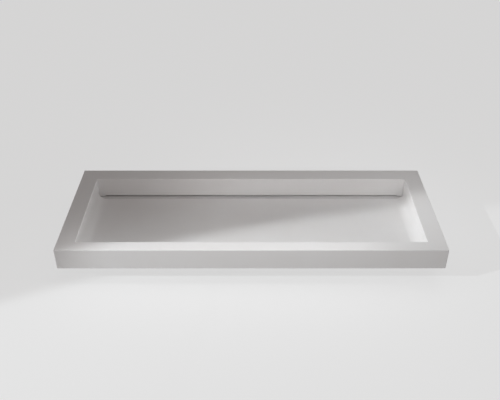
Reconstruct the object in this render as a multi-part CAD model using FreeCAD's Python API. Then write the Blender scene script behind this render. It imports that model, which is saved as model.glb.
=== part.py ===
import FreeCAD
import Part
import math
import os

from FreeCAD import Vector

# A wide wall-hung washbasin, cast in matt white mineral material. Its
# floor falls to a hidden trough along the wall, closed below by a bonded
# tray. A lift-out panel stands in front of the trough and is the rear wall
# of the bowl.
# The back of the basin is the plane y = 0 and the front faces -Y. The
# origin is the centre of the four wall bolts. Sizes are in millimetres.
# A "drop" is a distance below the rim, a "reach" is one from the wall.

# Body
width = 1200.0
depth = 460.0
apron_height = 72.0
deck_thickness = 12.0
apron_thickness = 12.0
outer_round = 2.0

# Rims round the bowl
rear_rim = 58.0
side_rim = 57.0
front_rim = 41.0
mouth_round = 1.6

# Bowl
bowl_wall = 10.0
floor_drop_rear = 67.0
floor_rise = 17.0
cove_radius = 34.0
floor_lip_round = 1.2

# Trough under the rear rim, lowest at its middle, where the waste is
trough_back_wall = 10.0
trough_before_panel = 26.5
trough_step = 7.2
trough_fall = 2.0
tray_thickness = 11.0

# Lift-out panel, which stands on a leg at each end
panel_thickness = 8.0
panel_gap = 0.3
panel_slot_overlap = 2.5
leg_length = 20.0
foot_thickness = 1.5
foot_inset = 1.0
foot_clearance = 0.3

# Magnets that hold the panel to the edge of the rear rim
magnet_length = 24.0
magnet_height = 6.0
magnet_thickness = 3.0
magnet_clearance = 0.05
magnet_place_shares = (-0.85, -0.3, 0.3, 0.85)

# Grid waste
grid_radius = 18.2
grid_clearance = 0.3
grid_thickness = 2.0
grid_slot_width = 2.4
grid_slot_pitch = 4.6
grid_slots_each_side = 3
grid_border = 3.0
grid_hub_radius = 6.2
upper_seal_thickness = 1.0
grid_ledge = 2.2
waste_back_gap = 20.0
lower_seal_thickness = 2.0
waste_flange_radius = 27.5
waste_flange_thickness = 4.0
tail_radius = 20.955
tail_wall = 3.455
tail_length = 45.0
tail_chamfer = 1.0
bridge_width = 7.0
bridge_height = 6.0
bridge_boss_radius = 5.5
centre_screw_radius = 2.5
centre_screw_head_radius = 4.6
centre_screw_head_height = 1.6
centre_screw_slot = 1.0

# Concealed wall brackets, one in the hollow at each side of the bowl
bolt_spacing = 36.0
bolt_hole_radius = 5.5
plate_thickness = 6.0
plate_end_margin = 10.0
plate_side_gap = 1.0
bracket_tip_gap = 63.0
arm_web_thickness = 5.0
arm_web_height = 44.0
arm_tip_height = 20.0
arm_flange_thickness = 5.0
arm_side_gap = 2.5
arm_corner_round = 8.0
pad_thickness = 2.0
rear_screw_reach = 85.0
tip_screw_inset = 55.0
screws_per_arm = 2

# Fasteners of the brackets
screw_radius = 3.0
screw_head_across_flats = 10.0
screw_head_height = 4.0
screw_hole_clearance = 0.6
screw_engagement = 7.0
washer_radius = 6.0
washer_thickness = 1.6
insert_across_flats = 9.0
insert_length = 8.5
insert_clearance = 0.05
insert_end_room = 0.5

# Ribs in the hollow behind the front apron
rib_thickness = 6.0
rib_place_shares = (-0.72, -0.24, 0.24, 0.72)

# Helpers for cuts and for finding edges
hexagon_sides = 6
overrun = 5.0
tolerance = 0.01

half_width = width / 2
mouth_half = half_width - side_rim
panel_back_reach = rear_rim - panel_thickness
mouth_front_reach = depth - front_rim
trough_front_reach = rear_rim + trough_before_panel
tub_half = mouth_half + bowl_wall
tub_front_reach = mouth_front_reach + bowl_wall
floor_drop_front = floor_drop_rear - floor_rise
trough_drop_ends = floor_drop_rear + trough_step
trough_drop_middle = trough_drop_ends + trough_fall
tray_underside_drop = trough_drop_middle + tray_thickness
panel_slot_drop = floor_drop_rear + panel_slot_overlap
waste_reach = trough_back_wall + waste_back_gap
outlet_radius = grid_radius - grid_ledge
tail_bore_radius = tail_radius - tail_wall
floor_fall = (floor_drop_rear - floor_drop_front) / (mouth_front_reach - trough_front_reach)
hollow_outer = half_width - apron_thickness
hollow_middle = (tub_half + hollow_outer) / 2
arm_flange_width = hollow_outer - tub_half - 2 * arm_side_gap
plate_height = bolt_spacing + 2 * plate_end_margin
bracket_reach = depth - apron_thickness - bracket_tip_gap
tip_screw_reach = bracket_reach - tip_screw_inset
screw_pitch = (tip_screw_reach - rear_screw_reach) / (screws_per_arm - 1)
pad_drop = deck_thickness + pad_thickness
rim_above_bolts = pad_drop + plate_height / 2
flange_drop = pad_drop + arm_flange_thickness


def level(drop):
    """Height of what lies this far below the rim."""
    return rim_above_bolts - drop


def block(x_range, reach_range, drop_range):
    """Box between two x values, two distances from the wall and two drops."""
    size = [abs(b - a) for a, b in (x_range, reach_range, drop_range)]
    corner = Vector(min(x_range), -max(reach_range), level(max(drop_range)))
    return Part.makeBox(*size, corner)


def prism_across(points, half_length):
    """Solid of a side view, given as (reach, drop) points, across the basin."""
    corners = [Vector(-half_length, -reach, level(drop)) for reach, drop in points]
    face = Part.Face(Part.makePolygon(corners + corners[:1]))
    return face.extrude(Vector(2 * half_length, 0, 0))


def upright(radius, x, reach, top_drop, bottom_drop):
    """Upright round bar."""
    base = Vector(x, -reach, level(bottom_drop))
    return Part.makeCylinder(radius, bottom_drop - top_drop, base)


def ring(outer, inner, x, reach, top_drop, bottom_drop):
    """Upright ring with a plain bore."""
    bar = upright(outer, x, reach, top_drop, bottom_drop)
    bore = upright(inner, x, reach, top_drop - overrun, bottom_drop + overrun)
    return bar.cut(bore)


def hexagonal(across_flats, x, reach, top_drop, bottom_drop):
    """Upright hexagonal bar."""
    step = 2 * math.pi / hexagon_sides
    radius = across_flats / 2 / math.cos(step / 2)
    corners = []
    for i in range(hexagon_sides):
        angle = i * step
        along = -reach + radius * math.sin(angle)
        corners.append(Vector(x + radius * math.cos(angle), along, level(bottom_drop)))
    face = Part.Face(Part.makePolygon(corners + corners[:1]))
    return face.extrude(Vector(0, 0, bottom_drop - top_drop))


def edges_between(shape, low, high):
    """Edges that lie inside the box from low to high."""
    found = []
    for edge in shape.Edges:
        span = edge.BoundBox
        inside = (
            span.XMin > low.x - tolerance
            and span.XMax < high.x + tolerance
            and span.YMin > low.y - tolerance
            and span.YMax < high.y + tolerance
            and span.ZMin > low.z - tolerance
            and span.ZMax < high.z + tolerance
        )
        if inside:
            found.append(edge)
    return found


def mirrored(shape):
    """The same piece on the other side of the basin."""
    return shape.mirror(Vector(0, 0, 0), Vector(1, 0, 0))


def outer_body():
    """Rim and apron as one block with its visible edges rounded."""
    body = block((-half_width, half_width), (0, depth), (0, apron_height))
    top = level(0)
    bottom = level(apron_height)
    far = half_width
    rounded = edges_between(body, Vector(-far, -depth, top), Vector(far, 0, top))
    rounded += edges_between(body, Vector(-far, -depth, bottom), Vector(far, -depth, top))
    rounded += edges_between(body, Vector(-far, -depth, bottom), Vector(-far, 0, bottom))
    rounded += edges_between(body, Vector(far, -depth, bottom), Vector(far, 0, bottom))
    kept = []
    for edge in rounded:
        if not any(edge.isSame(other) for other in kept):
            kept.append(edge)
    return body.makeFillet(outer_round, kept)


def floor_drop(reach):
    """Drop of the sloping floor at a distance from the wall."""
    return floor_drop_rear - (reach - trough_front_reach) * floor_fall


def coved(solid, half, rear_reach, front_reach, front_drop, rear_drop, radius):
    """Round the lower side edges and the lower front edge of a bowl shape."""
    chosen = []
    for x in (-half, half):
        low = Vector(x, -front_reach, level(rear_drop))
        high = Vector(x, -rear_reach, level(front_drop))
        chosen += edges_between(solid, low, high)
    low = Vector(-half, -front_reach, level(front_drop))
    high = Vector(half, -front_reach, level(front_drop))
    chosen += edges_between(solid, low, high)
    return solid.makeFillet(radius, chosen)


def bowl_cavity():
    """Water space from the panel's place to the front wall, open at the top."""
    rear = panel_back_reach - panel_gap
    front = mouth_front_reach
    rear_drop = floor_drop(rear)
    profile = [
        (rear, -overrun),
        (front, -overrun),
        (front, floor_drop_front),
        (rear, rear_drop),
    ]
    solid = prism_across(profile, mouth_half)
    return coved(solid, mouth_half, rear, front, floor_drop_front, rear_drop, cove_radius)


def bowl_tub():
    """Outside of the bowl under the deck, one wall thicker than the cavity."""
    rear = panel_back_reach
    front = tub_front_reach
    front_drop = floor_drop(tub_front_reach) + bowl_wall
    rear_drop = floor_drop(rear) + bowl_wall
    top_drop = deck_thickness / 2
    profile = [
        (rear, top_drop),
        (front, top_drop),
        (front, front_drop),
        (rear, rear_drop),
    ]
    solid = prism_across(profile, tub_half)
    radius = cove_radius + bowl_wall / 2
    return coved(solid, tub_half, rear, front, front_drop, rear_drop, radius)


def trough_walls():
    """Walls round the trough, from the wall to just before the floor's edge."""
    reach = trough_front_reach + bowl_wall
    return block((-tub_half, tub_half), (0, reach), (deck_thickness / 2, trough_drop_ends))


def trough_cavity():
    """Hidden trough under the rear rim, open below where the tray closes it."""
    reaches = (trough_back_wall, trough_front_reach)
    return block((-mouth_half, mouth_half), reaches, (deck_thickness, trough_drop_ends))


def tray_space():
    """Room under the trough's walls, where the tray is bonded on."""
    reaches = (-overrun, trough_front_reach + bowl_wall)
    return block((-tub_half, tub_half), reaches, (trough_drop_ends, tray_underside_drop))


def outlet_cut():
    """Bore of the outlet and the seat of the grid, both in the tray."""
    seat_drop = trough_drop_middle + grid_thickness + upper_seal_thickness
    seat_top = trough_drop_middle - overrun
    seat = upright(grid_radius + grid_clearance, 0, waste_reach, seat_top, seat_drop)
    bore = upright(outlet_radius, 0, waste_reach, seat_top, tray_underside_drop + overrun)
    return seat.fuse(bore)


def panel_magnet_reach():
    """Near face of the magnets in the panel's back."""
    return panel_back_reach + magnet_clearance


def rim_magnet_reach():
    """Near face of the magnets in the edge of the rear rim."""
    return panel_back_reach - panel_gap - magnet_clearance - magnet_thickness


def magnet_bars(near_reach, extra):
    """One row of bar magnets from this distance on, larger by extra for their pockets."""
    half_length = magnet_length / 2 + extra
    half_height = magnet_height / 2 + extra
    middle_drop = deck_thickness / 2
    bars = []
    for share in magnet_place_shares:
        middle = share * mouth_half
        bars.append(
            block(
                (middle - half_length, middle + half_length),
                (near_reach - extra, near_reach + magnet_thickness + extra),
                (middle_drop - half_height, middle_drop + half_height),
            )
        )
    return bars


def screw_reaches():
    """Distances from the wall of the screws in one bracket arm."""
    return [rear_screw_reach + i * screw_pitch for i in range(screws_per_arm)]


def screw_places():
    """Places (x, reach) of every bracket screw."""
    screw_x = arm_web_outer() + (arm_flange_width - arm_web_thickness) / 2
    return [(side * screw_x, reach) for side in (-1, 1) for reach in screw_reaches()]


def arm_web_outer():
    """Outer face of the bracket arm's upright web."""
    return hollow_middle - arm_flange_width / 2 + arm_web_thickness


def front_ribs():
    """Ribs that tie the front apron to the bowl."""
    ribs = []
    behind = tub_front_reach - bowl_wall / 2
    before = depth - apron_thickness / 2
    foot = floor_drop_front - bowl_wall
    for share in rib_place_shares:
        middle = share * mouth_half
        sides = (middle - rib_thickness / 2, middle + rib_thickness / 2)
        ribs.append(block(sides, (behind, before), (deck_thickness / 2, foot)))
    return ribs


def mouth_edges(shape):
    """Upper edges of the bowl's mouth at its sides and front."""
    top = level(0)
    near = -(panel_back_reach - panel_gap)
    far = -mouth_front_reach
    chosen = edges_between(shape, Vector(-mouth_half, far, top), Vector(-mouth_half, near, top))
    chosen += edges_between(shape, Vector(mouth_half, far, top), Vector(mouth_half, near, top))
    chosen += edges_between(shape, Vector(-mouth_half, far, top), Vector(mouth_half, far, top))
    return chosen


def floor_lip_edges(shape):
    """Rear edge of the floor, where the water leaves it for the trough."""
    reach = -trough_front_reach
    inner = mouth_half - cove_radius
    low = Vector(-inner, reach, level(floor_drop_rear))
    high = Vector(inner, reach, level(floor_drop_rear))
    return edges_between(shape, low, high)


def basin_shell():
    """The casting: rim, bowl, walls of the trough and apron in one piece, open below."""
    below = apron_height + overrun
    hollow_front = depth - apron_thickness
    hollow_sides = (-hollow_outer, hollow_outer)
    hollow = block(hollow_sides, (-overrun, hollow_front), (deck_thickness, below))
    shell = outer_body().cut(hollow)
    shell = shell.fuse([bowl_tub(), trough_walls()] + front_ribs())
    shell = shell.cut([bowl_cavity(), trough_cavity(), tray_space()]).removeSplitter()
    shell = shell.makeFillet(mouth_round, mouth_edges(shell))
    shell = shell.makeFillet(floor_lip_round, floor_lip_edges(shell))
    pockets = magnet_bars(rim_magnet_reach(), magnet_clearance)
    hole_drop = deck_thickness - insert_length - insert_end_room
    pocket_across_flats = insert_across_flats + 2 * insert_clearance
    for x, reach in screw_places():
        below = deck_thickness + tolerance
        pockets.append(hexagonal(pocket_across_flats, x, reach, hole_drop, below))
    return shell.cut(pockets)


def access_panel():
    """Lift-out rear wall of the bowl, with a slot for the water at its foot."""
    half = mouth_half - panel_gap
    leg_drop = trough_drop_ends - foot_thickness - foot_clearance
    panel = block((-half, half), (panel_back_reach, rear_rim), (0, leg_drop))
    slot_half = mouth_half - leg_length
    beyond = (panel_back_reach - overrun, rear_rim + overrun)
    slot = block((-slot_half, slot_half), beyond, (panel_slot_drop, leg_drop + overrun))
    panel = panel.cut(slot)
    top = Vector(half, -rear_rim, level(0))
    chosen = edges_between(panel, Vector(-half, -rear_rim, level(0)), top)
    foot = Vector(slot_half, -rear_rim, level(panel_slot_drop))
    chosen += edges_between(panel, Vector(-slot_half, -rear_rim, level(panel_slot_drop)), foot)
    panel = panel.makeFillet(mouth_round, chosen)
    return panel.cut(magnet_bars(panel_magnet_reach(), magnet_clearance))


def panel_feet():
    """Thin resilient pads under the panel's two legs."""
    outer = mouth_half - panel_gap - foot_inset
    inner = mouth_half - leg_length + foot_inset
    top_drop = trough_drop_ends - foot_thickness - foot_clearance
    reaches = (panel_back_reach + foot_inset, rear_rim - foot_inset)
    foot = block((inner, outer), reaches, (top_drop, top_drop + foot_thickness))
    return Part.makeCompound([foot, mirrored(foot)])


def panel_magnets():
    """Bars in the back of the panel."""
    return Part.makeCompound(magnet_bars(panel_magnet_reach(), 0))


def rim_magnets():
    """Bars in the edge of the rear rim, facing those of the panel."""
    return Part.makeCompound(magnet_bars(rim_magnet_reach(), 0))


def trough_tray():
    """Tray that closes the trough below, lowest at its middle, with the outlet."""
    reach = trough_front_reach + bowl_wall
    tray = block((-tub_half, tub_half), (0, reach), (trough_drop_ends, tray_underside_drop))
    corners = [
        (-mouth_half, trough_drop_ends),
        (0, trough_drop_middle),
        (mouth_half, trough_drop_ends),
    ]
    outline = [Vector(x, -trough_front_reach, level(drop)) for x, drop in corners]
    face = Part.Face(Part.makePolygon(outline + outline[:1]))
    fall = face.extrude(Vector(0, trough_front_reach - trough_back_wall, 0))
    return tray.cut([fall, outlet_cut()])


def waste_grid():
    """Flush round grid with a row of slots and a countersunk middle."""
    top = trough_drop_middle
    bottom = top + grid_thickness
    disc = upright(grid_radius, 0, waste_reach, top, bottom)
    bars = []
    for i in range(-grid_slots_each_side, grid_slots_each_side + 1):
        middle = waste_reach + i * grid_slot_pitch
        reaches = (middle - grid_slot_width / 2, middle + grid_slot_width / 2)
        bars.append(block((-grid_radius, grid_radius), reaches, (top - overrun, bottom + overrun)))
    field = ring(grid_radius - grid_border, grid_hub_radius, 0, waste_reach, top, bottom)
    slots = field.common(Part.makeCompound(bars))
    screw_radius_here = centre_screw_radius + tolerance
    hole = upright(screw_radius_here, 0, waste_reach, top - overrun, bottom + overrun)
    return disc.cut([slots, hole, centre_screw_cone()])


def centre_screw_cone():
    """Countersunk head of the centre screw, flush with the grid."""
    base = Vector(0, -waste_reach, level(trough_drop_middle + centre_screw_head_height))
    return Part.makeCone(
        centre_screw_radius, centre_screw_head_radius, centre_screw_head_height, base
    )


def waste_upper_seal():
    """Ring between the grid and its seat."""
    top = trough_drop_middle + grid_thickness
    return ring(grid_radius, outlet_radius, 0, waste_reach, top, top + upper_seal_thickness)


def waste_lower_seal():
    """Ring between the tray and the flange of the waste."""
    top = tray_underside_drop
    bottom = top + lower_seal_thickness
    return ring(waste_flange_radius, outlet_radius, 0, waste_reach, top, bottom)


def bridge_drop():
    """Top of the bridge inside the waste, level with the top of its flange."""
    return tray_underside_drop + lower_seal_thickness


def waste_body():
    """Outlet with a flange, a threaded tail and a bridge for the centre screw."""
    top = bridge_drop()
    shoulder = top + waste_flange_thickness
    foot = shoulder + tail_length
    body = upright(waste_flange_radius, 0, waste_reach, top, shoulder)
    tail = upright(tail_radius, 0, waste_reach, top, foot)
    rim = edges_between(
        tail,
        Vector(-tail_radius, -waste_reach - tail_radius, level(foot)),
        Vector(tail_radius, -waste_reach + tail_radius, level(foot)),
    )
    body = body.fuse(tail.makeChamfer(tail_chamfer, rim))
    body = body.cut(upright(tail_bore_radius, 0, waste_reach, shoulder, foot + overrun))
    body = body.cut(upright(outlet_radius, 0, waste_reach, top - overrun, shoulder + overrun))
    span = (-tail_bore_radius - tolerance, tail_bore_radius + tolerance)
    sides = (waste_reach - bridge_width / 2, waste_reach + bridge_width / 2)
    bridge = block(span, sides, (top, top + bridge_height))
    bridge = bridge.common(upright(outlet_radius + tolerance, 0, waste_reach, top, foot))
    boss = upright(bridge_boss_radius, 0, waste_reach, top, top + bridge_height)
    body = body.fuse([bridge, boss])
    below = top + bridge_height + overrun
    thread = upright(centre_screw_radius + tolerance, 0, waste_reach, top - overrun, below)
    return body.cut(thread).removeSplitter()


def waste_screw():
    """Countersunk screw that draws the grid and the waste together."""
    top = trough_drop_middle
    end = bridge_drop() + bridge_height
    shank = upright(centre_screw_radius, 0, waste_reach, top + centre_screw_head_height, end)
    slot = block(
        (-centre_screw_head_radius, centre_screw_head_radius),
        (waste_reach - centre_screw_slot / 2, waste_reach + centre_screw_slot / 2),
        (top - overrun, top + centre_screw_head_height / 2),
    )
    return shank.fuse(centre_screw_cone()).cut(slot)


def bracket_right():
    """Wall plate with two bolt holes and an angle arm under the deck."""
    inner = tub_half + plate_side_gap
    outer = hollow_outer - plate_side_gap
    upper = pad_drop
    plate = block((inner, outer), (0, plate_thickness), (upper, upper + plate_height))
    web_inner = arm_web_outer() - arm_web_thickness
    flange = block((web_inner, web_inner + arm_flange_width), (0, bracket_reach), (upper, flange_drop))
    side_view = [
        (0, upper),
        (bracket_reach, upper),
        (bracket_reach, upper + arm_tip_height),
        (plate_thickness, upper + arm_web_height),
        (0, upper + arm_web_height),
    ]
    corners = [Vector(web_inner, -reach, level(drop)) for reach, drop in side_view]
    web = Part.Face(Part.makePolygon(corners + corners[:1])).extrude(Vector(arm_web_thickness, 0, 0))
    tip_low = Vector(web_inner, -bracket_reach, level(upper + arm_tip_height))
    tip_high = Vector(web_inner + arm_web_thickness, -bracket_reach, level(upper + arm_tip_height))
    web = web.makeFillet(arm_corner_round, edges_between(web, tip_low, tip_high))
    bracket = plate.fuse([flange, web])
    cuts = []
    for sign in (-1, 1):
        base = Vector(hollow_middle, overrun, sign * bolt_spacing / 2)
        length = plate_thickness + 2 * overrun
        cuts.append(Part.makeCylinder(bolt_hole_radius, length, base, Vector(0, -1, 0)))
    for x, reach in screw_places():
        if x > 0:
            radius = screw_radius + screw_hole_clearance
            cuts.append(upright(radius, x, reach, upper - overrun, flange_drop + overrun))
    return bracket.cut(cuts).removeSplitter()


def bracket_pads():
    """Resilient strips between the arms and the deck."""
    inner = arm_web_outer() - arm_web_thickness
    sides = (inner, inner + arm_flange_width)
    strip = block(sides, (plate_thickness, bracket_reach), (deck_thickness, pad_drop))
    for x, reach in screw_places():
        if x > 0:
            radius = screw_radius + screw_hole_clearance
            strip = strip.cut(upright(radius, x, reach, deck_thickness - overrun, pad_drop + overrun))
    return Part.makeCompound([strip, mirrored(strip)])


def threaded_inserts():
    """Hexagonal brass bushes in the underside of the deck, which take the screws."""
    top = deck_thickness - insert_length
    radius = screw_radius + insert_clearance
    bushes = []
    for x, reach in screw_places():
        bush = hexagonal(insert_across_flats, x, reach, top, deck_thickness)
        bore = upright(radius, x, reach, top - overrun, deck_thickness + overrun)
        bushes.append(bush.cut(bore))
    return Part.makeCompound(bushes)


def bracket_washers():
    """Washers between the screw heads and the arms."""
    bore = screw_radius + insert_clearance
    washers = []
    for x, reach in screw_places():
        bottom = flange_drop + washer_thickness
        washers.append(ring(washer_radius, bore, x, reach, flange_drop, bottom))
    return Part.makeCompound(washers)


def bracket_screws():
    """Hexagon screws that go up through the arms into the deck."""
    head_drop = flange_drop + washer_thickness
    head_end = head_drop + screw_head_height
    screws = []
    for x, reach in screw_places():
        shank = upright(screw_radius, x, reach, deck_thickness - screw_engagement, head_drop)
        head = hexagonal(screw_head_across_flats, x, reach, head_drop, head_end)
        screws.append(shank.fuse(head))
    return Part.makeCompound(screws)


def export(name, shape):
    """Write one piece, or one group of like pieces, to its own file."""
    shape.exportStep("parts/" + name + ".step")
    print(name, "solids", len(shape.Solids), "valid", shape.isValid(), "volume", round(shape.Volume))


def main():
    os.makedirs("parts", exist_ok=True)
    bracket = bracket_right()
    export("basin_shell", basin_shell())
    export("trough_tray", trough_tray())
    export("access_panel", access_panel())
    export("panel_feet", panel_feet())
    export("panel_magnets", panel_magnets())
    export("rim_magnets", rim_magnets())
    export("waste_grid", waste_grid())
    export("waste_screw", waste_screw())
    export("waste_upper_seal", waste_upper_seal())
    export("waste_lower_seal", waste_lower_seal())
    export("waste_body", waste_body())
    export("bracket_right", bracket)
    export("bracket_left", mirrored(bracket))
    export("bracket_pads", bracket_pads())
    export("threaded_inserts", threaded_inserts())
    export("bracket_washers", bracket_washers())
    export("bracket_screws", bracket_screws())


main()
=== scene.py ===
import math

import bmesh
import bpy
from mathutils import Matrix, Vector


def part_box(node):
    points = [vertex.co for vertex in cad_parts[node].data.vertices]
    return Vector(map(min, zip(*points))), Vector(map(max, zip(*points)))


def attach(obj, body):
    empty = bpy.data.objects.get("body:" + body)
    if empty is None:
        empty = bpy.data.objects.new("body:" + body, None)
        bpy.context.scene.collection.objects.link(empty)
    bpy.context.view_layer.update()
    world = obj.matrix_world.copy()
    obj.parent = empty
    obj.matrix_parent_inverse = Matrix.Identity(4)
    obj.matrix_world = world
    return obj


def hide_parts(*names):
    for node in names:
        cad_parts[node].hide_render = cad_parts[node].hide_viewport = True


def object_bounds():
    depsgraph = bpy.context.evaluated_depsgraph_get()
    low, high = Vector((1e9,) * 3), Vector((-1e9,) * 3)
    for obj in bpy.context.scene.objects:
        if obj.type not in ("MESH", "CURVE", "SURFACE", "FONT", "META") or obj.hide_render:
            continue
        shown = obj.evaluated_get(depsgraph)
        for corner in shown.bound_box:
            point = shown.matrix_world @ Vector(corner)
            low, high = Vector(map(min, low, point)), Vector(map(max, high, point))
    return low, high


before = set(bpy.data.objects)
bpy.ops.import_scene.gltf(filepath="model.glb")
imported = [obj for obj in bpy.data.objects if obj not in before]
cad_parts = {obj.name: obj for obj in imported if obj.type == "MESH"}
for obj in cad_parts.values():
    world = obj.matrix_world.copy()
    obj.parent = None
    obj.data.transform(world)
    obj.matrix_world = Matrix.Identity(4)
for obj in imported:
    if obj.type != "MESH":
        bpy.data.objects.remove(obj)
cad_low, cad_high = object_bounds()

# The picture's frame, and the camera that its edges give
IMAGE_WIDTH = 500
FOCAL_PIXELS = 658.6
SENSOR_WIDTH = 36.0
CAMERA_PITCH = 34.26
CAMERA_SIDE = -0.004
CAMERA_BEFORE_WALL = 2.022
CAMERA_ABOVE_RIM = 1.248

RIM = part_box("basin_shell")[1].z
MILLIMETRE = 0.001


# Node helpers

# Places of the mix node's colour sockets, whose names its other data types share
MIX_A = 6
MIX_B = 7
MIX_RESULT = 2


def new_material(name):
    """Empty node material with a principled shader joined to its output."""
    made = bpy.data.materials.new(name)
    made.use_nodes = True
    tree = made.node_tree
    tree.nodes.clear()
    output = tree.nodes.new("ShaderNodeOutputMaterial")
    shader = tree.nodes.new("ShaderNodeBsdfPrincipled")
    tree.links.new(shader.outputs["BSDF"], output.inputs["Surface"])
    return made, tree, shader


def place(tree, stretch=(1.0, 1.0, 1.0)):
    """Object coordinates in metres, stretched along the axes."""
    coordinates = tree.nodes.new("ShaderNodeTexCoord")
    mapping = tree.nodes.new("ShaderNodeMapping")
    mapping.inputs["Scale"].default_value = stretch
    tree.links.new(coordinates.outputs["Object"], mapping.inputs["Vector"])
    return mapping.outputs["Vector"]


def noise(tree, vector, size, detail=3.0, roughness=0.5):
    """Noise whose features are about this many metres wide."""
    node = tree.nodes.new("ShaderNodeTexNoise")
    node.inputs["Scale"].default_value = 1.0 / size
    node.inputs["Detail"].default_value = detail
    node.inputs["Roughness"].default_value = roughness
    tree.links.new(vector, node.inputs["Vector"])
    return node.outputs["Fac"]


def ranged(tree, value, source, target):
    """Value mapped from one (start, end) range to another, and held within it."""
    node = tree.nodes.new("ShaderNodeMapRange")
    node.inputs["From Min"].default_value, node.inputs["From Max"].default_value = source
    node.inputs["To Min"].default_value, node.inputs["To Max"].default_value = target
    tree.links.new(value, node.inputs["Value"])
    return node.outputs["Result"]


def ramp(tree, value, stops):
    """Colour ramp through (position, linear colour) stops."""
    node = tree.nodes.new("ShaderNodeValToRGB")
    elements = node.color_ramp.elements
    while len(elements) < len(stops):
        elements.new(0.5)
    for element, (position, colour) in zip(elements, stops):
        element.position = position
        element.color = (*colour, 1.0)
    tree.links.new(value, node.inputs["Fac"])
    return node.outputs["Color"]


def mixed(tree, factor, first, second):
    """Colour mix of two linear colours or sockets, by a socket's number."""
    node = tree.nodes.new("ShaderNodeMix")
    node.data_type = "RGBA"
    tree.links.new(factor, node.inputs["Factor"])
    for socket, value in zip((node.inputs[MIX_A], node.inputs[MIX_B]), (first, second)):
        if isinstance(value, bpy.types.NodeSocket):
            tree.links.new(value, socket)
        else:
            socket.default_value = (*value, 1.0)
    return node.outputs[MIX_RESULT]


def added(tree, first, second, operation="ADD"):
    """Two numbers or sockets joined by a sum or another operation."""
    node = tree.nodes.new("ShaderNodeMath")
    node.operation = operation
    for socket, value in zip(node.inputs, (first, second)):
        if isinstance(value, bpy.types.NodeSocket):
            tree.links.new(value, socket)
        else:
            socket.default_value = value
    return node.outputs["Value"]


def bump(tree, shader, height, distance):
    """Relief, at most this many metres high, on the shader's normal."""
    node = tree.nodes.new("ShaderNodeBump")
    node.inputs["Distance"].default_value = distance
    tree.links.new(height, node.inputs["Height"])
    tree.links.new(node.outputs["Normal"], shader.inputs["Normal"])


def downward(tree):
    """One on faces that look down, nought on the others."""
    geometry = tree.nodes.new("ShaderNodeNewGeometry")
    split = tree.nodes.new("ShaderNodeSeparateXYZ")
    tree.links.new(geometry.outputs["Normal"], split.inputs["Vector"])
    return ranged(tree, split.outputs["Z"], (-0.3, -0.7), (0.0, 1.0))


# Materials

CAST_WHITE = (0.805, 0.799, 0.795)
CAST_WARM = (0.792, 0.781, 0.774)
CAST_SPECK = (0.745, 0.737, 0.731)
# Painted shade: the trough tray's white is darkened to this share, so the gutter before the
# panel reads darker as if in shade
PAINTED_GUTTER_SHADE_TONE = 0.86
CAST_IOR = 1.5
SANDING_STRETCH = (1.0, 5.0, 1.0)
BRUSH_STRETCH = (60.0, 1.0, 1.0)
# The part of its range that noise mostly fills
NOISE_SPAN = (0.3, 0.7)
BLOOM_GAIN = 1.35
BLOOM_LIFT = 0.01


def cast_mineral(name, tone=1.0):
    """Matt white mineral casting: faint clouds, fine grains and a sanded satin."""
    white, warm, speck = (
        tuple(tone * c for c in colour) for colour in (CAST_WHITE, CAST_WARM, CAST_SPECK)
    )
    made, tree, shader = new_material(name)
    spot = place(tree)
    clouds = noise(tree, spot, size=0.16, detail=4.0)
    body = ramp(tree, clouds, [(0.36, warm), (0.64, white)])
    grains = noise(tree, spot, size=0.0011, detail=2.0)
    speckled = mixed(tree, ranged(tree, grains, (0.62, 0.75), (0.0, 0.6)), body, speck)
    below = downward(tree)
    tree.links.new(mixed(tree, below, speckled, speck), shader.inputs["Base Color"])
    strokes = place(tree, SANDING_STRETCH)
    sanding = noise(tree, strokes, size=0.03, detail=5.0, roughness=0.65)
    satin = ranged(tree, sanding, NOISE_SPAN, (0.40, 0.50))
    rough = added(tree, satin, ranged(tree, below, (0.0, 1.0), (0.0, 0.25)))
    tree.links.new(rough, shader.inputs["Roughness"])
    peel = noise(tree, spot, size=0.004)
    bump(tree, shader, peel, distance=0.00002)
    shader.inputs["IOR"].default_value = CAST_IOR
    return made


def brushed_metal(name, light, dark, smooth, rough):
    """Metal with brush marks across the x axis."""
    made, tree, shader = new_material(name)
    marks = noise(tree, place(tree, BRUSH_STRETCH), size=0.02, detail=6.0, roughness=0.7)
    tree.links.new(ramp(tree, marks, [(0.3, dark), (0.7, light)]), shader.inputs["Base Color"])
    tree.links.new(ranged(tree, marks, NOISE_SPAN, (rough, smooth)), shader.inputs["Roughness"])
    bump(tree, shader, marks, distance=0.00002)
    shader.inputs["Metallic"].default_value = 1.0
    return made


def powder_coat(name):
    """Grey powder coating with its fine orange peel and small flaws."""
    made, tree, shader = new_material(name)
    spot = place(tree)
    peel = noise(tree, spot, size=0.0016, detail=2.0)
    wear = noise(tree, spot, size=0.03, detail=6.0, roughness=0.7)
    colour = ramp(tree, wear, [(0.35, (0.130, 0.135, 0.140)), (0.7, (0.165, 0.170, 0.175))])
    tree.links.new(colour, shader.inputs["Base Color"])
    tree.links.new(ranged(tree, wear, NOISE_SPAN, (0.36, 0.5)), shader.inputs["Roughness"])
    bump(tree, shader, peel, distance=0.00006)
    return made


def moulded_rubber(name, colour):
    """Matt rubber with a dusty bloom."""
    made, tree, shader = new_material(name)
    bloom = noise(tree, place(tree), size=0.006, detail=5.0, roughness=0.7)
    pale = tuple(min(1.0, BLOOM_GAIN * c + BLOOM_LIFT) for c in colour)
    tree.links.new(ramp(tree, bloom, [(0.4, colour), (0.75, pale)]), shader.inputs["Base Color"])
    tree.links.new(ranged(tree, bloom, NOISE_SPAN, (0.62, 0.82)), shader.inputs["Roughness"])
    bump(tree, shader, bloom, distance=0.00005)
    return made


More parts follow.
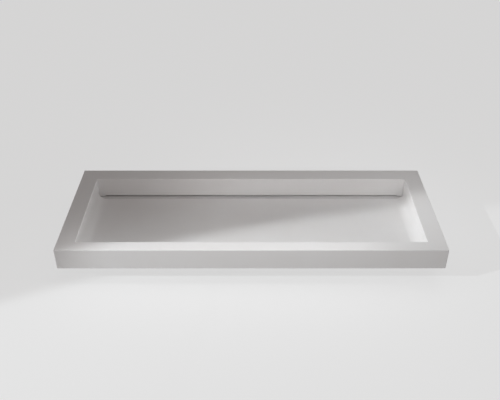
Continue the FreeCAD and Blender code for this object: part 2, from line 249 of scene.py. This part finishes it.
def plated(name, dark, light):
    """Bright plating with faint water marks."""
    made, tree, shader = new_material(name)
    marks = noise(tree, place(tree), size=0.012, detail=5.0, roughness=0.6)
    colour = ramp(tree, marks, [(0.35, dark), (0.7, light)])
    tree.links.new(colour, shader.inputs["Base Color"])
    tree.links.new(ranged(tree, marks, NOISE_SPAN, (0.09, 0.2)), shader.inputs["Roughness"])
    shader.inputs["Metallic"].default_value = 1.0
    return made


def dress(node, material):
    """Give a CAD node one material."""
    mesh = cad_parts[node].data
    mesh.materials.clear()
    mesh.materials.append(material)


def dress_nodes():
    """Materials of all the pieces that the frame carries."""
    white = cast_mineral("matt_mineral")
    # The trough tray's white, darkened with painted shade for the gutter
    gutter_shaded_white = cast_mineral("matt_mineral_painted_gutter_shade", PAINTED_GUTTER_SHADE_TONE)
    stainless = brushed_metal("stainless", (0.60, 0.60, 0.59), (0.48, 0.48, 0.47), 0.22, 0.36)
    zinc = brushed_metal("zinc_plate", (0.56, 0.57, 0.58), (0.44, 0.45, 0.46), 0.25, 0.42)
    brass = brushed_metal("turned_brass", (0.60, 0.42, 0.16), (0.48, 0.32, 0.11), 0.22, 0.35)
    coat = powder_coat("powder_coat")
    black = moulded_rubber("seal_rubber", (0.020, 0.020, 0.021))
    pale = moulded_rubber("clear_pad", (0.50, 0.50, 0.48))
    nickel = plated("nickel_plate", (0.42, 0.39, 0.34), (0.48, 0.45, 0.39))
    chrome = plated("chrome_plate", (0.60, 0.61, 0.62), (0.66, 0.67, 0.68))
    dress("basin_shell", white)
    dress("trough_tray", gutter_shaded_white)
    dress("access_panel", white)
    dress("panel_feet", pale)
    dress("panel_magnets", nickel)
    dress("rim_magnets", nickel)
    dress("waste_grid", stainless)
    dress("waste_screw", stainless)
    dress("waste_upper_seal", black)
    dress("waste_lower_seal", black)
    dress("bracket_left", coat)
    dress("bracket_right", coat)
    dress("bracket_pads", black)
    dress("threaded_inserts", brass)
    dress("bracket_washers", zinc)
    threaded_waste(chrome)
    hexagon_screws(zinc)


# Pieces that replace plain solids

THREAD_PITCH = 2.309 * MILLIMETRE
THREAD_DEPTH = 1.2 * MILLIMETRE
THREAD_FULLNESS = 0.8
THREAD_STEPS = 8
TAIL_RADIUS = 20.955 * MILLIMETRE
TAIL_NECK = 4.0 * MILLIMETRE
TAIL_CHAMFER = 1.6 * MILLIMETRE
TAIL_BORE = 17.5 * MILLIMETRE
OUTLET = 16.0 * MILLIMETRE
FLANGE_THICKNESS = 4.0 * MILLIMETRE
FLANGE_ROUND = 0.8 * MILLIMETRE
FLANGE_RADIUS = 27.5 * MILLIMETRE
BRIDGE_WIDTH = 7.0 * MILLIMETRE
BRIDGE_HEIGHT = 6.0 * MILLIMETRE
BOSS_RADIUS = 5.5 * MILLIMETRE
BOSS_HOLE = 2.51 * MILLIMETRE
ARM_INTO_BOSS = 1.2 * MILLIMETRE
ARM_INTO_WALL = 0.1 * MILLIMETRE
TURN_SIDES = 72
WELD = 0.002 * MILLIMETRE
SHARP_DEGREES = 32.0


def as_piece(name, shape, body, material, node):
    """Finished mesh as a piece that rides on a body in place of a node."""
    bmesh.ops.remove_doubles(shape, verts=shape.verts, dist=WELD)
    bmesh.ops.dissolve_degenerate(shape, edges=shape.edges, dist=WELD)
    bmesh.ops.recalc_face_normals(shape, faces=shape.faces)
    mesh = bpy.data.meshes.new(name)
    shape.to_mesh(mesh)
    shape.free()
    piece = bpy.data.objects.new(name, mesh)
    bpy.context.scene.collection.objects.link(piece)
    mesh.materials.append(material)
    mesh.shade_smooth()
    mesh.set_sharp_from_angle(angle=math.radians(SHARP_DEGREES))
    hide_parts(node)
    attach(piece, body)
    return piece


def lathe(shape, centre, columns):
    """Closed skin through columns of (radius, height) points, one for each turn step."""
    steps = len(columns) - 1
    rows = []
    for step, column in enumerate(columns):
        angle = 2.0 * math.pi * step / steps
        across = Vector((math.cos(angle), math.sin(angle), 0.0))
        up = Vector((0.0, 0.0, 1.0))
        rows.append([shape.verts.new(centre + across * r + up * z) for r, z in column])
    for near, far in zip(rows, rows[1:]):
        for i in range(len(near) - 1):
            shape.faces.new((near[i], near[i + 1], far[i + 1], far[i]))
        shape.faces.new((near[-1], near[0], far[0], far[-1]))


def thread_depth(share):
    """Depth of the rounded thread below its crest at this share of its pitch."""
    wave = 0.5 - 0.5 * math.cos(2.0 * math.pi * share)
    return THREAD_DEPTH * wave ** THREAD_FULLNESS


def tail_column(turn, top, foot):
    """Outline of the waste at one turn step, from the outlet round to the bore."""
    shoulder = top - FLANGE_THICKNESS
    start = shoulder - TAIL_NECK
    column = [(OUTLET, top), (FLANGE_RADIUS - FLANGE_ROUND, top)]
    column += [(FLANGE_RADIUS, top - FLANGE_ROUND), (FLANGE_RADIUS, shoulder + FLANGE_ROUND)]
    column += [(FLANGE_RADIUS - FLANGE_ROUND, shoulder)]
    column += [(TAIL_RADIUS, shoulder), (TAIL_RADIUS, start)]
    step = THREAD_PITCH / THREAD_STEPS
    count = int((start - foot) / step) + THREAD_STEPS + 2
    for i in range(count):
        z = start - i * step + turn * THREAD_PITCH
        z = min(max(z, foot), start)
        down = (start - z) / THREAD_PITCH
        radius = TAIL_RADIUS - thread_depth(down + turn) * min(1.0, down)
        radius = min(radius, TAIL_RADIUS - TAIL_CHAMFER + (z - foot))
        column.append((radius, z))
    return column + [(TAIL_BORE, foot), (TAIL_BORE, shoulder), (OUTLET, shoulder)]


def threaded_waste(material):
    """Waste with its flange, the pipe thread on its tail and the bridge for the centre screw."""
    low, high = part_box("waste_body")
    middle = (low + high) / 2.0
    centre = Vector((middle.x, middle.y, 0.0))
    shape = bmesh.new()
    turns = [i / TURN_SIDES for i in range(TURN_SIDES + 1)]
    lathe(shape, centre, [tail_column(turn, high.z, low.z) for turn in turns])
    deep = high.z - BRIDGE_HEIGHT
    ring = [(BOSS_RADIUS, high.z), (BOSS_RADIUS, deep), (BOSS_HOLE, deep), (BOSS_HOLE, high.z)]
    lathe(shape, centre, [ring] * (TURN_SIDES // 2 + 1))
    for side in (-1, 1):
        near = side * (BOSS_RADIUS - ARM_INTO_BOSS)
        far = side * (OUTLET + ARM_INTO_WALL)
        arm = bmesh.ops.create_cube(shape, size=1.0)["verts"]
        size = Vector((abs(far - near), BRIDGE_WIDTH, BRIDGE_HEIGHT))
        spot = centre + Vector(((near + far) / 2.0, 0.0, (high.z + deep) / 2.0))
        bmesh.ops.scale(shape, vec=size, verts=arm)
        bmesh.ops.translate(shape, vec=spot, verts=arm)
    piece = as_piece("waste_with_thread", shape, "basin", material, "waste_body")


SCREW_RADIUS = 3.0 * MILLIMETRE
HEAD_HALF_FLAT = 5.0 * MILLIMETRE
HEAD_HEIGHT = 4.0 * MILLIMETRE
HEAD_FACE = 4.75 * MILLIMETRE
HEAD_COLLAR = 0.4 * MILLIMETRE
HEAD_DISH = 0.35 * MILLIMETRE
HEAD_DISH_SLOPE = 3.0 * HEAD_DISH
HEAD_CHAMFER_DEGREES = 30.0
HEAD_SIDES = 6
HEAD_SPLIT = 8


def head_column(turn, seat, tip):
    """Outline of a hexagon screw at one turn step, from its tip down to the head's face."""
    sixth = 2.0 * math.pi / HEAD_SIDES
    angle = (turn * 2.0 * math.pi) % sixth - sixth / 2.0
    reach = HEAD_HALF_FLAT / math.cos(angle)
    foot = seat - HEAD_HEIGHT
    slope = math.tan(math.radians(HEAD_CHAMFER_DEGREES))
    edge = foot + (reach - HEAD_FACE) * slope
    collar = seat - HEAD_COLLAR
    column = [(0.0, tip), (SCREW_RADIUS - HEAD_COLLAR, tip), (SCREW_RADIUS, tip - HEAD_COLLAR)]
    column += [(SCREW_RADIUS, seat), (HEAD_FACE, seat), (HEAD_FACE, collar), (reach, collar)]
    column += [(reach, edge), (HEAD_FACE, foot), (HEAD_FACE - HEAD_DISH, foot)]
    dish = foot + HEAD_DISH
    return column + [(HEAD_FACE - HEAD_DISH_SLOPE, dish), (0.0, dish)]


def hexagon_screws(material):
    """The four hexagon screws, with chamfered and dished heads."""
    low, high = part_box("bracket_screws")
    seat = low.z + HEAD_HEIGHT
    corner = HEAD_HALF_FLAT / math.cos(math.pi / HEAD_SIDES)
    shape = bmesh.new()
    steps = HEAD_SIDES * HEAD_SPLIT
    columns = [head_column(i / steps, seat, high.z) for i in range(steps + 1)]
    for x in (low.x + corner, high.x - corner):
        for y in (low.y + HEAD_HALF_FLAT, high.y - HEAD_HALF_FLAT):
            lathe(shape, Vector((x, y, 0.0)), columns)
    piece = as_piece("hexagon_screws", shape, "basin", material, "bracket_screws")


# Stage, camera and lights

FLOOR_GAP = 0.004
FLOOR_SIZE = 40.0
FLOOR_LIT = 0.70
FLOOR_TONE = 0.62
FLOOR_SHADOWED = 0.24
BACKDROP = 0.90
ROOM_COLOUR = (1.0, 0.89, 0.85)
ROOM_BEFORE = 0.30
ROOM_BEHIND = 0.04
SUN_DEGREES = 4.0
COOL = (0.94, 0.98, 1.0)
NEUTRAL = (0.98, 0.99, 1.0)


def camera_ray_mix(tree, lit, seen):
    """Shader that shows one thing to the camera and to mirrors, another to light."""
    path = tree.nodes.new("ShaderNodeLightPath")
    direct = added(tree, path.outputs["Is Camera Ray"], path.outputs["Is Glossy Ray"])
    through = added(tree, direct, path.outputs["Is Transmission Ray"])
    mix = tree.nodes.new("ShaderNodeMixShader")
    tree.links.new(added(tree, through, 1.0, "MINIMUM"), mix.inputs["Fac"])
    tree.links.new(lit, mix.inputs[1])
    tree.links.new(seen, mix.inputs[2])
    return mix.outputs["Shader"]


def diffuse_of(tree, level):
    """Plain grey diffuse shader."""
    node = tree.nodes.new("ShaderNodeBsdfDiffuse")
    node.inputs["Color"].default_value = (level, level, level, 1.0)
    return node.outputs["BSDF"]


def make_floor():
    """Plain pale floor: to the eye mostly its own even tone, with the shadow kept."""
    bpy.ops.mesh.primitive_plane_add(size=FLOOR_SIZE, location=(0, 0, cad_low.z - FLOOR_GAP))
    floor = bpy.context.object
    floor.name = "floor"
    made = bpy.data.materials.new("pale_floor")
    made.use_nodes = True
    tree = made.node_tree
    tree.nodes.clear()
    output = tree.nodes.new("ShaderNodeOutputMaterial")
    glow = tree.nodes.new("ShaderNodeEmission")
    glow.inputs["Color"].default_value = (FLOOR_TONE, FLOOR_TONE, FLOOR_TONE, 1.0)
    shown = tree.nodes.new("ShaderNodeAddShader")
    tree.links.new(diffuse_of(tree, FLOOR_SHADOWED), shown.inputs[0])
    tree.links.new(glow.outputs["Emission"], shown.inputs[1])
    lit = diffuse_of(tree, FLOOR_LIT)
    tree.links.new(camera_ray_mix(tree, lit, shown.outputs["Shader"]), output.inputs["Surface"])
    floor.data.materials.append(made)


def make_world():
    """Soft light from all round, stronger from before the basin, and a pale backdrop."""
    world = bpy.data.worlds.new("studio")
    bpy.context.scene.world = world
    world.use_nodes = True
    tree = world.node_tree
    tree.nodes.clear()
    output = tree.nodes.new("ShaderNodeOutputWorld")
    lit = tree.nodes.new("ShaderNodeBackground")
    lit.inputs["Color"].default_value = (*ROOM_COLOUR, 1.0)
    towards = tree.nodes.new("ShaderNodeTexCoord")
    split = tree.nodes.new("ShaderNodeSeparateXYZ")
    tree.links.new(towards.outputs["Generated"], split.inputs["Vector"])
    level = ranged(tree, split.outputs["Y"], (-1.0, 1.0), (ROOM_BEFORE, ROOM_BEHIND))
    tree.links.new(level, lit.inputs["Strength"])
    seen = tree.nodes.new("ShaderNodeBackground")
    seen.inputs["Color"].default_value = (BACKDROP, BACKDROP, BACKDROP, 1.0)
    made = camera_ray_mix(tree, lit.outputs["Background"], seen.outputs["Background"])
    tree.links.new(made, output.inputs["Surface"])


def aimed(data, place_at, aim):
    """Lamp of this data at a place, turned to its aim, unseen and without glare."""
    lamp = bpy.data.objects.new(data.name, data)
    bpy.context.scene.collection.objects.link(lamp)
    lamp.location = place_at
    lamp.rotation_mode = "QUATERNION"
    lamp.rotation_quaternion = (Vector(aim) - Vector(place_at)).to_track_quat("-Z", "Y")
    lamp.visible_camera = False
    lamp.visible_glossy = False


def softbox(name, place_at, aim, size, watts, colour, spread=180.0):
    """Rectangular soft light, whose beam spreads over this many degrees."""
    data = bpy.data.lights.new(name, "AREA")
    data.shape = "RECTANGLE"
    data.size, data.size_y = size
    data.spread = math.radians(spread)
    data.energy = watts
    data.color = colour
    aimed(data, place_at, aim)


def spotlight(name, place_at, aim, radius, cone, blend, watts, colour):
    """Round light with a cone of this many degrees, whose edge fades over a share of it."""
    data = bpy.data.lights.new(name, "SPOT")
    data.shadow_soft_size = radius
    data.spot_size = math.radians(cone)
    data.spot_blend = blend
    data.energy = watts
    data.color = colour
    aimed(data, place_at, aim)


def low_sun(name, place_at, strength):
    """Level light from far away, which reaches upright faces and hardly any others."""
    data = bpy.data.lights.new(name, "SUN")
    data.angle = math.radians(SUN_DEGREES)
    data.energy = strength
    data.color = NEUTRAL
    aimed(data, place_at, (0.0, 0.0, 0.0))


def make_lights():
    """Far key from the front left, soft lights above the basin and weak level fills."""
    # One edge of the key's cone falls slantwise over the bowl's floor
    spotlight(
        "key", (-4.55, -2.36, 2.84), aim=(-0.30, -2.22, 0.04),
        radius=0.03, cone=40.0, blend=0.05, watts=785.0, colour=COOL,
    )
    softbox(
        "front_edge", (-0.09, -0.485, 0.20), aim=(-0.09, -0.44, 0.0),
        size=(1.0, 0.05), watts=0.40, colour=NEUTRAL,
    )
    softbox(
        "right_end", (0.68, -0.24, 0.50), aim=(0.62, -0.22, 0.0),
        size=(0.4, 0.3), watts=0.46, colour=COOL,
    )
    softbox(
        "rear", (0.2, -1.0, 0.6), aim=(0.2, -0.05, -0.02),
        size=(0.9, 0.05), watts=0.18, colour=NEUTRAL, spread=30.0,
    )
    softbox(
        "above", (0.05, -0.30, 0.75), aim=(0.03, -0.22, 0.0),
        size=(0.5, 0.2), watts=0.4, colour=NEUTRAL,
    )
    low_sun("left", (-8.0, -0.3, 0.35), strength=0.6)
    low_sun("right", (8.0, -0.3, 0.35), strength=0.35)
    low_sun("behind", (2.0, 8.0, 0.35), strength=1.2)


def make_camera():
    """Camera that the photographed edges give, above and before the basin."""
    data = bpy.data.cameras.new("camera")
    data.sensor_width = SENSOR_WIDTH
    data.sensor_fit = "HORIZONTAL"
    data.lens = FOCAL_PIXELS / IMAGE_WIDTH * SENSOR_WIDTH
    camera = bpy.data.objects.new("camera", data)
    bpy.context.scene.collection.objects.link(camera)
    camera.location = (CAMERA_SIDE, -CAMERA_BEFORE_WALL, RIM + CAMERA_ABOVE_RIM)
    camera.rotation_euler = (math.radians(90.0 - CAMERA_PITCH), 0.0, 0.0)
    bpy.context.scene.camera = camera


dress_nodes()
make_floor()
make_world()
make_lights()
make_camera()
bpy.context.scene.view_settings.view_transform = "Standard"
